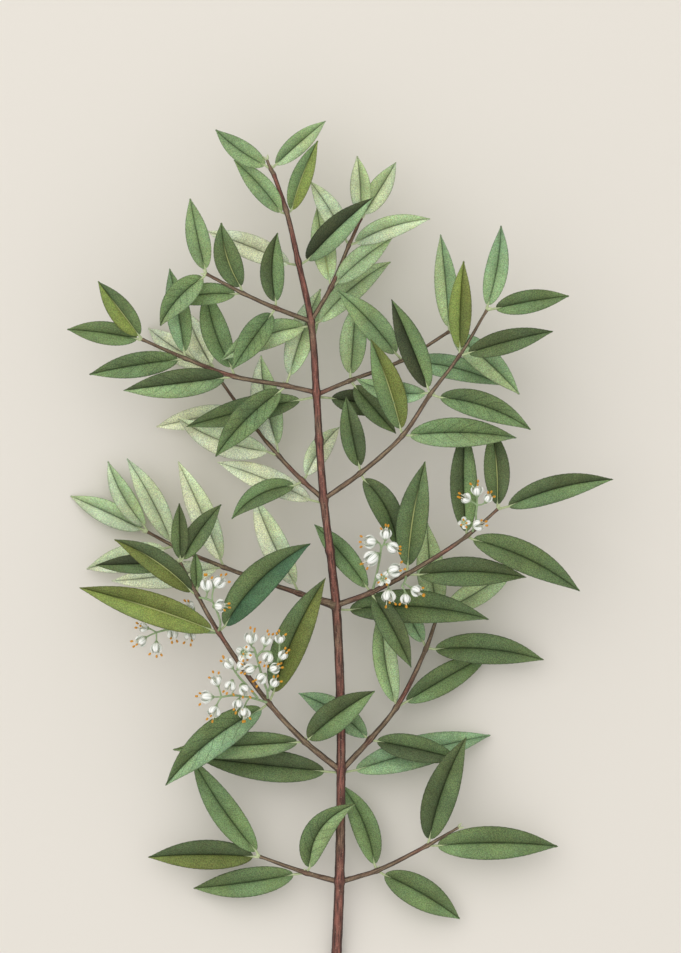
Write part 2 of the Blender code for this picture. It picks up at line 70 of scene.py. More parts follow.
# The photograph's frame: how much of the table one of its pixels spans, and its middle
PIXEL = 0.4
FRAME_WIDE = 681
FRAME_HIGH = 953
FRAME_MIDDLE = (0.2, 33.4)
CAMERA_HEIGHT = 8.0

# Leaf blades
LEAF_THICKNESS = 0.34
LEAF_FOLD = math.radians(27)
LEAF_ARCH = 0.03
LEAF_STATIONS = 44
LEAF_COLUMNS = (-1.0, -0.93, -0.7, -0.42, -0.16, -0.04, 0.0, 0.04, 0.16, 0.42, 0.7, 0.93, 1.0)
TOOTH_DEPTH = 0.07
RIB_GROOVE = 0.1
# strength of the painted light and shade that part a leaf's two halves along its rib
PAINTED_RIB_SHADING = 0.24
FADE_ALONG = 0.22
STALK_LENGTH = 2.8
STALK_RADIUS = 0.5

# Twigs
NODE_SWELL = 0.3
NODE_SPAN = 1.3
SEAT_DROP = 1.7
SEAT_LOWER = 0.9
CUT_Y = -175.0

Knot = namedtuple("Knot", "x y z radius")
Leaf = namedtuple("Leaf", "knot x y z width bow stalk tones")
Shoot = namedtuple("Shoot", "name knots leaves")
Truss = namedtuple("Truss", "name lines flowers")
Flower = namedtuple("Flower", "x y z heading size")
Tone = namedtuple("Tone", "name colour")

# Leaf tones. A leaf gives the letter of one, or of two where its left and right halves plainly differ, looking
# from foot to tip. Two letters are partly real colour and partly painted shade, the darker letter going to the
# half turned from the light; leaves that lie in the shade of others are given paler letters, which is painted
# light.
# A plus sign gives it clear side veins; on the others they are faint. A minus sign gives it a rib that is pale
# near its foot; on the others it is dark.
TONES = {
    "k": Tone("blackish_green", (62, 70, 45)),
    "d": Tone("dark_green", (80, 93, 58)),
    "g": Tone("deep_green", (95, 113, 71)),
    "m": Tone("mid_green", (110, 133, 86)),
    "l": Tone("light_green", (133, 156, 107)),
    "p": Tone("pale_green", (164, 184, 135)),
    "c": Tone("cream_green", (191, 205, 165)),
    "w": Tone("whitish_green", (212, 219, 185)),
    "o": Tone("olive", (105, 115, 57)),
    "y": Tone("yellow_olive", (130, 145, 74)),
    "b": Tone("blue_green", (72, 104, 72)),
    "a": Tone("grey_green", (134, 162, 118)),
}


def leaf(knot, x, y, z, width, bow, stalk, tones):
    """A leaf that leaves its twig at a knot and points at x, y, z, bowed to the left by bow."""
    return Leaf(knot, x, y, z, width, bow, stalk, tones)


def flower(x, y, z, heading=None, size=1.0):
    """A flower that opens along its heading, in degrees from +X, or upwards without one."""
    return Flower(x, y, z, heading, size)


MAIN_STEM = [
    Knot(-2.6, -182.0, 2.2, 2.15),
    Knot(-1.7, -164.0, 2.5, 2.1),
    Knot(-0.2, -128.0, 9.0, 2.0),
    Knot(0.4, -83.2, 17.0, 1.8),
    Knot(0.2, -56.0, 21.0, 1.8),
    Knot(-1.6, -18.0, 25.0, 1.8),
    Knot(-4.0, 4.0, 27.5, 1.6),
    Knot(-6.5, 24.4, 29.0, 1.6),
    Knot(-8.3, 48.0, 31.0, 1.5),
    Knot(-9.4, 66.8, 32.0, 1.5),
    Knot(-11.6, 95.2, 33.0, 1.35),
    Knot(-16.7, 119.2, 33.0, 1.15),
    Knot(-21.5, 139.6, 32.5, 0.95),
    Knot(-26.4, 153.8, 32.0, 0.8),
]

SHOOTS = [
    Shoot(
        "leading_tip",
        [Knot(-26.4, 153.8, 32, 0.8), Knot(-27.6, 155.8, 32, 0.75), Knot(-29.0, 159.4, 32, 0.4)],
        [
            leaf(1, -49.6, 171.6, 35, 8.8, 1.0, 2.8, "l"),
            leaf(1, -5.6, 175.2, 29, 8.2, 0.3, 2.8, "lp"),
        ],
    ),
    Shoot(
        "upper_left",
        [
            Knot(-11.6, 95.2, 33, 1.0),
            Knot(-25.6, 100.4, 38, 0.9),
            Knot(-38.8, 106.4, 42, 0.75),
            Knot(-53.2, 114.0, 45, 0.6),
        ],
        [
            leaf(1, -24.8, 130.4, 43, 9.8, 1.8, 2.8, "dm"),
            leaf(1, -42.8, 76.0, 44, 11.0, -0.4, 2.8, "m+"),
            leaf(2, -47.2, 134.4, 47, 10.6, 1.8, 2.8, "g-"),
            leaf(2, -68.8, 102.8, 38, 9.0, -1.4, 2.8, "m"),
            leaf(3, -59.6, 144.0, 50, 9.4, 0.3, 2.0, "l"),
            leaf(3, -71.6, 93.2, 46, 10.8, -1.9, 2.0, "lm+"),
        ],
    ),
    Shoot(
        "upper_right",
        [
            Knot(-11.6, 95.2, 33, 0.95),
            Knot(-3.6, 108.8, 33, 0.85),
            Knot(3.6, 125.6, 31, 0.75),
            Knot(8.4, 136.4, 29, 0.6),
        ],
        [
            leaf(1, -9.2, 140.8, 26, 9.6, 0.2, 2.8, "p-"),
            leaf(1, 21.2, 128.8, 27, 9.8, 1.0, 2.8, "p"),
            leaf(2, -12.0, 151.2, 27, 9.0, -0.8, 2.8, "c"),
            leaf(2, 36.0, 136.0, 33, 9.2, 1.8, 2.8, "pc"),
            leaf(3, 6.8, 161.2, 33, 8.4, -0.5, 2.0, "cp"),
            leaf(3, 22.4, 158.8, 29, 9.0, -0.3, 2.0, "pc"),
        ],
    ),
    Shoot(
        "middle_left",
        [
            Knot(-9.4, 66.8, 32, 1.0),
            Knot(-21.6, 69.6, 33, 0.95),
            Knot(-42.0, 73.2, 34, 0.9),
            Knot(-61.6, 80.4, 34.5, 0.8),
            Knot(-78.8, 88.0, 34, 0.6),
        ],
        [
            leaf(1, -7.6, 108.4, 21, 11.0, 1.0, 4.6, "cp"),
            leaf(1, -49.6, 41.2, 34, 12.0, -1.8, 2.8, "mg+"),
            leaf(2, -53.2, 108.8, 30, 11.0, 2.0, 4.0, "m"),
            leaf(2, -86.4, 67.6, 37, 11.6, 0.0, 4.0, "ld+"),
            leaf(3, -68.0, 116.4, 29, 9.8, -0.4, 2.8, "am"),
            leaf(3, -100.0, 74.0, 33, 10.2, -0.6, 2.8, "mg+"),
            leaf(4, -96.4, 111.2, 39, 9.8, 0.0, 2.0, "yg-"),
            leaf(4, -108.8, 92.0, 33, 9.4, -0.6, 2.0, "mg"),
        ],
    ),
    Shoot(
        "middle_right",
        [
            Knot(-9.4, 66.0, 32, 0.95),
            Knot(4.0, 71.6, 30, 0.85),
            Knot(24.8, 79.7, 27, 0.75),
            Knot(43.6, 91.2, 24, 0.6),
        ],
        [
            leaf(1, 6.4, 103.2, 26, 10.8, 0.0, 2.8, "pl"),
            leaf(1, 22.4, 50.4, 32, 9.6, 0.0, 2.8, "dg"),
            leaf(2, -1.2, 107.6, 36, 11.0, -1.2, 4.0, "l"),
            leaf(2, 65.2, 69.6, 20, 9.8, 2.2, 2.8, "a"),
            leaf(3, 40.0, 130.0, 30, 9.2, -0.3, 2.0, "pa"),
            leaf(3, 71.6, 66.0, 27, 11.0, 1.2, 2.0, "ap"),
        ],
    ),
    Shoot(
        "front_right",
        [
            Knot(-6.5, 24.4, 29, 1.05),
            Knot(8.2, 34.8, 33, 1.0),
            Knot(25.0, 49.8, 38, 0.9),
            Knot(36.0, 66.2, 42, 0.8),
            Knot(47.6, 81.6, 45, 0.7),
            Knot(58.4, 99.6, 47, 0.55),
        ],
        [
            leaf(1, 2.4, 65.2, 36, 9.6, 0.4, 2.8, "gd"),
            leaf(1, 22.8, 4.0, 29, 11.0, 3.2, 2.8, "dg"),
            leaf(2, 12.0, 88.4, 44, 11.6, -0.9, 2.8, "mo-"),
            leaf(2, 70.4, 48.8, 41, 12.0, 1.6, 2.8, "ml+"),
            leaf(3, 20.4, 104.0, 48, 10.8, -0.4, 2.8, "km"),
            leaf(3, 76.0, 52.0, 46, 11.0, 2.6, 4.0, "gm+"),
            leaf(3, 6.4, 72.4, 35, 9.0, 2.2, 2.0, "a"),
            leaf(4, 49.2, 119.2, 50, 9.2, 0.6, 2.8, "yo"),
            leaf(4, 84.8, 91.2, 48, 9.8, 0.6, 3.6, "dg"),
            leaf(5, 64.0, 133.2, 53, 9.2, -1.2, 2.0, "a"),
            leaf(5, 91.2, 105.2, 49, 9.4, 0.5, 3.6, "gm"),
        ],
    ),
    Shoot(
        "back_left",
        [
            Knot(-6.5, 24.4, 29, 1.0),
            Knot(-14.8, 31.6, 27, 0.95),
            Knot(-24.4, 41.6, 23, 0.85),
            Knot(-39.6, 60.4, 15, 0.7),
            Knot(-50.8, 76.4, 9, 0.55),
        ],
        [
            leaf(1, 0.0, 53.2, 19, 9.0, 1.4, 2.8, "cw"),
            leaf(1, -43.2, 16.4, 33, 9.0, -3.4, 4.0, "gm"),
            leaf(2, -31.6, 82.0, 16, 12.0, 1.4, 4.6, "wp"),
            leaf(2, -64.8, 56.8, 15, 12.0, 2.4, 5.0, "wc"),
            leaf(3, -73.6, 53.2, 6, 9.0, -0.1, 2.8, "w"),
            leaf(4, -61.6, 99.6, 5, 10.4, 0.6, 2.0, "w"),
            leaf(4, -76.8, 92.8, 0.3, 10.8, 1.0, 2.0, "w"),
        ],
    ),
    Shoot(
        "low_back_left",
        [
            Knot(-1.6, -18.0, 25, 2.0),
            Knot(-16.4, -13.2, 22, 1.0),
            Knot(-46.4, -2.8, 13, 0.85),
            Knot(-66.4, 5.6, 8, 0.75),
            Knot(-76.8, 11.2, 6, 0.55),
        ],
        [
            leaf(1, -34.4, 26.0, 19, 11.2, 1.0, 4.0, "wc"),
            leaf(2, -64.8, 39.6, 12, 10.6, -0.5, 3.2, "wc"),
            leaf(2, -91.6, -8.4, 8, 10.4, 0.6, 2.8, "w"),
            leaf(3, -85.2, 40.8, 11, 9.8, -1.0, 2.8, "c"),
            leaf(3, -101.6, -3.6, 3, 11.0, 0.0, 4.0, "wc"),
            leaf(4, -92.8, 39.6, 6, 8.6, 1.6, 2.8, "cp"),
            leaf(4, -108.0, 25.6, 0.3, 9.6, -0.3, 2.8, "cp"),
        ],
    ),
    Shoot(
        "low_front_left",
        [
            Knot(0.4, -84.2, 17, 1.3),
            Knot(-14.0, -72.4, 22, 1.15),
            Knot(-28.4, -56.9, 28, 1.0),
            Knot(-48.4, -28.6, 33, 0.9),
            Knot(-56.8, -14.0, 35, 0.8),
            Knot(-63.6, -0.8, 36, 0.55),
        ],
        [
            leaf(1, 14.0, -52.0, 31, 12.6, 1.2, 1.8, "dm"),
            leaf(1, -66.8, -75.6, 20, 10.8, 0.0, 2.8, "lg"),
            leaf(2, -5.6, -6.8, 34, 13.6, 2.0, 4.8, "go"),
            leaf(2, -69.6, -90.0, 27, 13.6, -2.8, 3.6, "ag+"),
            leaf(3, -104.0, -10.8, 31, 12.8, -1.0, 2.8, "yo-"),
            leaf(3, -11.6, 6.8, 37, 13.8, 3.6, 3.6, "gb"),
            leaf(4, -90.0, 8.4, 37, 10.2, -2.1, 2.8, "od-"),
            leaf(4, -57.6, 3.2, 34, 5.0, 0.0, 2.8, "gm"),
            leaf(5, -64.0, 22.8, 41, 7.0, 0.0, 1.6, "gd"),
            leaf(5, -47.2, 22.4, 38, 9.0, 0.9, 1.6, "dg"),
            leaf(5, -97.6, -2.0, 27, 8.0, 0.0, 1.6, "gk"),
        ],
    ),
    Shoot(
        "low_front_right",
        [
            Knot(-1.6, -18.0, 25, 1.2),
            Knot(12.4, -12.8, 29, 1.05),
            Knot(26.4, -5.6, 33, 0.95),
            Knot(50.4, 9.6, 37, 0.8),
            Knot(62.8, 20.4, 39, 0.55),
        ],
        [
            leaf(1, -10.4, 14.4, 15, 9.6, -0.9, 2.8, "m"),
            leaf(1, 28.4, -42.8, 36, 10.4, 0.8, 1.8, "dg"),
            leaf(2, 34.0, 39.6, 37, 12.4, 1.2, 3.6, "g-"),
            leaf(2, 74.4, -6.8, 33, 12.0, 1.8, 5.0, "dg"),
            leaf(3, 50.0, 54.0, 33, 11.0, 1.0, 1.8, "dm"),
            leaf(3, 95.6, -12.4, 38, 12.4, 2.6, 2.8, "g"),
            leaf(4, 60.4, 52.8, 32, 10.4, -0.8, 2.0, "gd-"),
            leaf(4, 108.8, 32.2, 43, 10.8, 2.2, 4.4, "dm"),
        ],
    ),
    Shoot(
        "low_back_right",
        [
            Knot(0.4, -84.2, 17, 1.2),
            Knot(12.0, -71.6, 16, 1.1),
            Knot(22.4, -58.9, 14, 1.0),
            Knot(34.4, -35.2, 10, 0.9),
            Knot(39.2, -21.6, 8.2, 0.66),
        ],
        [
            leaf(1, -16.8, -53.2, 8, 10.6, -2.0, 1.8, "a"),
            leaf(1, 48.8, -80.0, 17, 10.6, 0.6, 2.8, "gd"),
            leaf(2, 17.6, -16.0, 13, 9.8, 2.2, 2.2, "lp"),
            leaf(2, 60.8, -36.8, 0.3, 11.2, 0.3, 5.0, "gm"),
            leaf(3, 24.8, -12.8, 8, 8.0, 1.0, 2.8, "a"),
            leaf(3, 81.6, -40.0, 8, 12.4, 2.2, 3.6, "g"),
            leaf(4, 34.8, 15.2, 10, 11.6, 0.8, 1.6, "p"),
            leaf(4, 71.2, -0.8, 6, 10.4, -1.2, 3.2, "p"),
        ],
    ),
    Shoot(
        "foot_left",
        [
            Knot(-0.2, -128.6, 9, 1.15),
            Knot(-13.6, -124.9, 11, 0.95),
            Knot(-32.0, -118.4, 12, 0.6),
        ],
        [
            leaf(1, 6.4, -97.2, 24, 11.2, 5.6, 2.8, "gl+"),
            leaf(1, -58.8, -131.2, 4, 11.8, 0.6, 5.0, "mg"),
            leaf(2, -59.2, -78.4, 18, 11.8, 1.4, 2.6, "m"),
            leaf(2, -76.8, -118.8, 9, 12.0, -1.0, 2.6, "od"),
        ],
    ),
    Shoot(
        "foot_right",
        [
            Knot(-0.2, -128.6, 9, 1.1),
            Knot(14.8, -124.0, 10, 0.95),
            Knot(34.8, -114.0, 13, 0.8),
            Knot(47.2, -106.8, 15, 0.45),
        ],
        [
            leaf(1, 0.4, -89.6, 6, 10.6, -2.4, 2.8, "m"),
            leaf(1, 48.0, -143.6, 5, 12.8, 1.2, 3.4, "gm"),
            leaf(2, 50.4, -70.4, 24, 13.4, 1.8, 2.8, "dg"),
            leaf(2, 87.2, -114.4, 10, 13.6, 1.3, 4.0, "gm"),
        ],
    ),
]

STEM_LEAVES = {
    "leaf_high_left": leaf(12, -42.4, 159.6, 30, 9.0, -0.9, 1.4, "l"),
    "leaf_high_right": leaf(12, -8.8, 167.2, 37, 8.6, 0.8, 1.4, "my-"),
    "leaf_upper_left": leaf(11, -53.2, 131.2, 30, 10.2, -0.6, 2.6, "w"),
    "leaf_upper_right": leaf(11, 13.2, 144.4, 43, 10.8, 0.8, 2.6, "ka"),
    "leaf_shoulder_left": leaf(10, -47.2, 79.6, 38, 11.0, -2.6, 1.0, "pl"),
    "leaf_shoulder_right": leaf(10, 20.4, 119.2, 15, 10.4, 2.0, 2.4, "p"),
    "leaf_middle_left": leaf(9, -61.6, 53.2, 22, 10.8, -0.8, 4.8, "g"),
    "leaf_middle_right": leaf(9, 22.0, 60.8, 20, 10.4, 0.0, 4.2, "kd"),
    "leaf_waist_left": leaf(7, -49.2, 39.2, 12, 10.4, -1.0, 4.2, "w"),
    "leaf_low_right": leaf(5, 59.6, -23.6, 22, 13.6, 3.2, 3.0, "g"),
    "leaf_fork_left": leaf(3, -58.0, -78.8, 10, 13.0, 0.0, 4.2, "gd"),
    "leaf_fork_right": leaf(3, 60.4, -70.0, 2, 13.0, 1.0, 3.8, "a"),
}

TRUSSES = [
    Truss(
        "blossom_low_left",
        [
            [(-49, -28.9, 32), (-56, -28.5, 29), (-64, -27.2, 27), (-70.4, -28, 26), (-73.2, -28.8, 26)],
            [(-56, -28.5, 29), (-59.0, -22.0, 28.4)],
        ],
        [
            flower(-78.2, -26.8, 26, 170, 0.8),
            flower(-79.2, -32.0, 26, 215),
            flower(-73.2, -34.8, 26, 270),
            flower(-66.8, -29.0, 25, 270),
            flower(-59.8, -29.8, 25, 270),
            flower(-59.6, -18.4, 27, 140, 0.8),
        ],
    ),
    Truss(
        "blossom_mid_left",
        [
            [(-48.8, -28.8, 33), (-47.6, -25.6, 36), (-48.8, -20.8, 39.5), (-50.8, -16.2, 41)],
            [(-50.8, -16.2, 41), (-53.6, -15.2, 40), (-56.0, -14.8, 37)],
        ],
        [
            flower(-53.0, -9.8, 42, 95, 1.15),
            flower(-48.2, -8.8, 42.6, 45, 1.15),
            flower(-48.0, -18.0, 42.6, 0, 1.05),
        ],
    ),
    Truss(
        "blossom_fork_left",
        [
            [(-29.2, -56.6, 30), (-36, -54.6, 34), (-42.8, -53.8, 35), (-47.2, -54.4, 35)],
            [(-32.8, -54.8, 33), (-35.2, -52, 35), (-37.6, -49.2, 36), (-39.6, -47.2, 36.6), (-42, -44, 37)],
            [(-28.8, -54.8, 32), (-29, -52, 35.5), (-30.2, -48.8, 37.5), (-31.2, -45.6, 38.8)],
            [(-31.2, -45.6, 38.8), (-32.2, -42, 39.6), (-33.2, -38.4, 40.4)],
            [(-33.2, -38.4, 40.4), (-34.2, -34.8, 41)],
            [(-33.2, -38.4, 40.4), (-31.2, -36.2, 41)],
            [(-28.4, -52, 35), (-27.2, -48.4, 38.6), (-26, -44.8, 40), (-24.4, -38.6, 41)],
        ],
        [
            flower(-35.4, -31.0, 41.8, 90, 1.15),
            flower(-29.4, -32.0, 41.8, 75),
            flower(-24.0, -31.4, 41.8, 90, 0.85),
            flower(-38.2, -36.8, 41.4),
            flower(-28.6, -38.6, 42.2, 245),
            flower(-22.8, -37.8, 42, 60, 0.85),
            flower(-44.2, -41.2, 38.6, 130),
            flower(-39.2, -41.8, 39.2, 45, 0.9),
            flower(-35.8, -43.2, 41, 200),
            flower(-26.2, -43.0, 42.4, 20, 0.9),
            flower(-31.2, -46.8, 41.4, 225),
            flower(-26.2, -48.8, 41, 60, 0.8),
            flower(-49.2, -48.0, 35.8, 110),
            flower(-43.6, -49.8, 37.6, 250),
            flower(-53.0, -54.4, 35.2, 180, 1.1),
            flower(-38.2, -51.4, 38.6, 310),
            flower(-50.0, -60.0, 35.6, 250, 1.1),
            flower(-40.6, -57.2, 36.4, 260, 0.95),
            flower(-38.0, -60.6, 35.8, 270),
        ],
    ),
    Truss(
        "blossom_low_right",
        [
            [(13.2, -11.2, 31), (14, -8, 34), (15.2, -2.4, 37.2), (16, 2, 39), (16.4, 5, 40.2)],
            [(14.4, -8, 34.4), (17.2, -5.8, 37)],
        ],
        [
            flower(18.2, 10.4, 41.8, 85),
            flower(12.2, 7.4, 41.6, 180, 1.15),
            flower(20.8, 5.2, 41.8, 330, 1.05),
            flower(12.6, 1.0, 41, 215, 1.35),
            flower(21.6, -4.0, 40.4, 10, 1.2),
            flower(17.2, -7.2, 39.2, size=0.9),
        ],
    ),
    Truss(
        "blossom_under_right",
        [
            [(26.4, -5.6, 33), (25.8, -8.4, 35.6), (24.6, -10.4, 36.6)],
            [(19.2, -9.2, 32), (19.2, -10.4, 34.2)],
        ],
        [
            flower(19.4, -14.0, 37.4, 270, 1.2),
            flower(26.0, -15.2, 37.2, 270, 0.9),
            flower(30.2, -12.0, 37.2, 330),
        ],
    ),
    Truss(
        "blossom_far_right",
        [
            [(52.8, 11.6, 38), (54.0, 14.8, 41), (54.2, 19, 42.4), (54.6, 22, 43.2)],
        ],
        [
            flower(54.6, 27.6, 44.2, 90),
            flower(50.4, 24.6, 44, 150, 0.9),
            flower(58.8, 24.6, 44, 60, 0.75),
            flower(49.4, 15.0, 43, size=0.7),
            flower(54.8, 14.0, 44.4, 10),
        ],
    ),
]


def linear(rgb):
    """A colour given on a 0 to 255 scale, as the linear values a shader takes."""
    parts = [v / 255 for v in rgb]
    return tuple(v / 12.92 if v < 0.04045 else ((v + 0.055) / 1.055) ** 2.4 for v in parts) + (1.0,)


class Finish:
    """A material, with short calls for the nodes that make up its pattern."""

    def __init__(self, name, roughness):
        self.material = bpy.data.materials.new(name)
        self.material.use_nodes = True
        self.tree = self.material.node_tree
        self.shader = self.tree.nodes["Principled BSDF"]
        self.shader.inputs["Roughness"].default_value = roughness

    def set(self, socket, value):
        """Feeds a socket with a constant or with another node's output."""
        if isinstance(value, bpy.types.NodeSocket):
            self.tree.links.new(value, socket)
        else:
            socket.default_value = value

    def node(self, kind, output=0, inputs=(), **settings):
        made = self.tree.nodes.new("ShaderNode" + kind)
        for key, value in settings.items():
            setattr(made, key, value)
        for key, value in dict(inputs).items():
            self.set(made.inputs[key], value)
        return made.outputs[output]

    def math(self, operation, a, b=0.0, c=0.0):
        return self.node("Math", inputs={0: a, 1: b, 2: c}, operation=operation)

    def ramp(self, value, low, high, to_low=0.0, to_high=1.0):
        """Turns low..high into to_low..to_high, smoothly and held at both ends."""
        inputs = {"Value": value, "From Min": low, "From Max": high, "To Min": to_low, "To Max": to_high}
        return self.node("MapRange", inputs=inputs, interpolation_type="SMOOTHSTEP")

    def mix(self, share, first, second, blend="MIX"):
        made = self.tree.nodes.new("ShaderNodeMix")
        made.data_type = "RGBA"
        made.blend_type = blend
        self.set(made.inputs["Factor"], share)
        self.set([s for s in made.inputs if s.name == "A" and s.type == "RGBA"][0], first)
        self.set([s for s in made.inputs if s.name == "B" and s.type == "RGBA"][0], second)
        return [s for s in made.outputs if s.type == "RGBA"][0]

    def grain(self, where, scale, detail=3.0, roughness=0.55):
        inputs = {"Vector": where, "Scale": scale, "Detail": detail, "Roughness": roughness}
        return self.node("TexNoise", inputs=inputs)

    def bump(self, height, distance, strength=1.0):
        inputs = {"Height": height, "Distance": distance, "Strength": strength}
        self.set(self.shader.inputs["Normal"], self.node("Bump", inputs=inputs))


def darker(colour, share):
    return tuple(v * share for v in colour[:3]) + (1.0,)


def leaf_skin(tone):
    """One tone of leaf: leathery and grainy, with a fine dark rib, dark margin lines and side veins, painted shade
    along the rib, towards the margins and at foot and tip, and a painted highlight between rib and margin.
    """
    finish = Finish("leaf_" + tone.name, 0.5)
    finish.shader.inputs["Specular IOR Level"].default_value = 0.22
    place = finish.node("TexCoord", "Object")
    uv = finish.node("UVMap", uv_map="blade")
    along = finish.node("SeparateXYZ", "X", {0: uv})
    across = finish.node("SeparateXYZ", "Y", {0: uv})
    out = finish.math("MULTIPLY", finish.math("ABSOLUTE", finish.math("SUBTRACT", across, 0.5)), 2.0)

    lightness = sum(tone.colour) / 600
    depth = 0.38 - 0.12 * lightness
    stipple = finish.ramp(finish.grain(place, 2700, 0.0), 0.25, 0.75, 1 - depth, 1 + depth)
    shade = finish.math("MULTIPLY", finish.ramp(finish.grain(place, 110), 0.3, 0.7, 0.88, 1.12), stipple)
    # painted shade along the rib, towards the margins and at the foot and tip, with a painted highlight between rib
    # and margin of each half
    painted_shade_and_highlight = [
        finish.ramp(out, 0.2, 0.04, 1, 0.78),
        finish.ramp(out, 0.2, 0.55, 1, 1.08),
        finish.ramp(out, 0.78, 0.94, 1, 0.86),
        finish.ramp(along, 0.0, 0.14, 0.84, 1),
        finish.ramp(along, 0.84, 1.0, 1, 0.84),
    ]
    lines = [
        finish.ramp(out, 0.055, 0.03, 1, 0.55),
        finish.ramp(out, 0.93, 0.98, 1, 0.66),
    ]
    for factor in painted_shade_and_highlight + lines:
        shade = finish.math("MULTIPLY", shade, factor)

    wander = finish.math("MULTIPLY", finish.grain(place, 150), 0.5)
    step = finish.math("ADD", finish.math("MULTIPLY", along, 7.0), wander)
    slant = finish.math("MULTIPLY", finish.math("POWER", out, 1.2), 1.5)
    vein = finish.ramp(finish.math("PINGPONG", finish.math("SUBTRACT", step, slant), 0.5), 0.45, 0.5)
    vein = finish.math("MULTIPLY", vein, finish.ramp(out, 0.92, 0.7))
    clear = finish.node("VertexColor", "Alpha", layer_name="fade")
    vein = finish.math("MULTIPLY", vein, clear)
    shade = finish.math("MULTIPLY", shade, finish.ramp(vein, 0, 1, 1, 0.52))

    # the red channel of these marks is the painted light and shade between the halves, with a random fade along the
    # leaf
    marks = finish.node("VertexColor", "Color", layer_name="fade")
    painted_light_and_fade = finish.node("SeparateColor", "Red", {0: marks})
    colour = finish.mix(1.0, linear(tone.colour), painted_light_and_fade, "MULTIPLY")
    drift = finish.ramp(finish.grain(place, 60), 0.35, 0.65)
    colour = finish.mix(1.0, colour, finish.mix(drift, (0.96, 1.0, 1.05, 1), (1.03, 1.0, 0.94, 1)), "MULTIPLY")
    flecks = finish.node("TexNoise", "Color", {"Vector": place, "Scale": 2100, "Detail": 0.0})
    colour = finish.mix(0.18, colour, flecks, "OVERLAY")
    colour = finish.mix(1.0, colour, shade, "MULTIPLY")
    pale = finish.math("MULTIPLY", finish.node("SeparateColor", "Green", {0: marks}), finish.ramp(along, 0.8, 0.45))
    rib = finish.math("MULTIPLY", pale, finish.ramp(out, 0.05, 0.025, 0.0, 0.85))
    colour = finish.mix(rib, colour, linear((186, 192, 130)))
    finish.set(finish.shader.inputs["Base Color"], colour)
    finish.bump(finish.math("SUBTRACT", finish.math("MULTIPLY", stipple, 0.6), vein), 0.0001)
    return finish.material


def plain_skin(name, rgb, roughness, scale=900, depth=0.00008):
    """A small part's finish: one colour with a slight mottle and a fine bump."""
    finish = Finish(name, roughness)
    base = linear(rgb)
    place = finish.node("TexCoord", "Object")
    mottle = finish.ramp(finish.grain(place, scale), 0.3, 0.7)
    finish.set(finish.shader.inputs["Base Color"], finish.mix(mottle, darker(base, 0.8), darker(base, 1.12)))
    finish.bump(mottle, depth)
    return finish.material


def petal_skin():
    """White petals with fine grey-green lines along them, greener at the foot."""
    finish = Finish("petal", 0.5)
    uv = finish.node("UVMap", uv_map="petal")
    along = finish.node("SeparateXYZ", "X", {0: uv})
    across = finish.node("SeparateXYZ", "Y", {0: uv})
    line = finish.math("PINGPONG", finish.math("MULTIPLY", across, 3.0), 0.5)
    line = finish.math("MULTIPLY", finish.ramp(line, 0.36, 0.5), finish.ramp(along, 1.0, 0.6))
    white = linear((250, 250, 244))
    colour = finish.mix(finish.math("MULTIPLY", line, 0.85), white, linear((118, 142, 108)))
    rim = finish.ramp(finish.math("ABSOLUTE", finish.math("SUBTRACT", across, 0.5)), 0.38, 0.49, 0.0, 0.75)
    colour = finish.mix(rim, colour, linear((120, 142, 112)))
    colour = finish.mix(finish.ramp(along, 0.3, 0.0, 0.0, 0.7), colour, linear((166, 190, 140)))
    finish.set(finish.shader.inputs["Base Color"], colour)
    finish.bump(line, 0.00004, -1.0)
    return finish.material


def bark_skin(name, red_below, grey_above):
    """Bark with long fine streaks and small pale dots, in patches of red-brown and grey-brown, with painted shade
    on its sides and underside and a painted highlight along its top.

    Where a slow grain is under red_below it is red-brown, and over grey_above grey-brown.
    """
    finish = Finish(name, 0.7)
    uv = finish.node("UVMap", uv_map="bark")
    stretched = finish.node("Mapping", inputs={"Vector": uv, "Scale": (9.0, 0.09, 1.0)})
    streak = finish.ramp(finish.grain(stretched, 1.6, 4.0, 0.6), 0.34, 0.66)
    place = finish.node("TexCoord", "Object")
    patch = finish.ramp(finish.grain(place, 60), red_below, grey_above)
    dark = finish.mix(patch, linear((66, 37, 29)), linear((74, 57, 42)))
    light = finish.mix(patch, linear((148, 93, 78)), linear((142, 121, 94)))
    colour = finish.mix(streak, dark, light)
    cells = {"Vector": place, "Scale": 700.0}
    dots = finish.ramp(finish.node("TexVoronoi", inputs=cells), 0.2, 0.08)
    colour = finish.mix(finish.math("MULTIPLY", dots, 0.5), colour, linear((186, 168, 142)))
    # flank measures how far round each limb is from its top: the sides and underside get painted shade in a
    # near-black brown
    flank = finish.math("PINGPONG", finish.math("ADD", finish.node("SeparateXYZ", "X", {0: uv}), 0.25), 0.5)
    flank = finish.math("ABSOLUTE", finish.math("SUBTRACT", flank, 0.46))
    colour = finish.mix(finish.ramp(flank, 0.03, 0.14, 0.0, 0.85), colour, linear((46, 29, 24)))
    # painted highlight: a pale streaky line along the top of each limb
    painted_top_highlight = finish.math("MULTIPLY", finish.ramp(flank, 0.05, 0.0, 0.0, 0.6), streak)
    colour = finish.mix(painted_top_highlight, colour, finish.mix(patch, linear((150, 95, 82)), linear((164, 144, 116))))
    grit = finish.ramp(finish.grain(place, 1800, 2.0, 0.7), 0.36, 0.64, 0.78, 1.16)
    finish.set(finish.shader.inputs["Base Color"], finish.mix(1.0, colour, grit, "MULTIPLY"))
    finish.bump(finish.math("ADD", streak, dots), 0.00014)
    return finish.material


def place_of(knot):
    return Vector((knot.x, knot.y, knot.z)) * MM


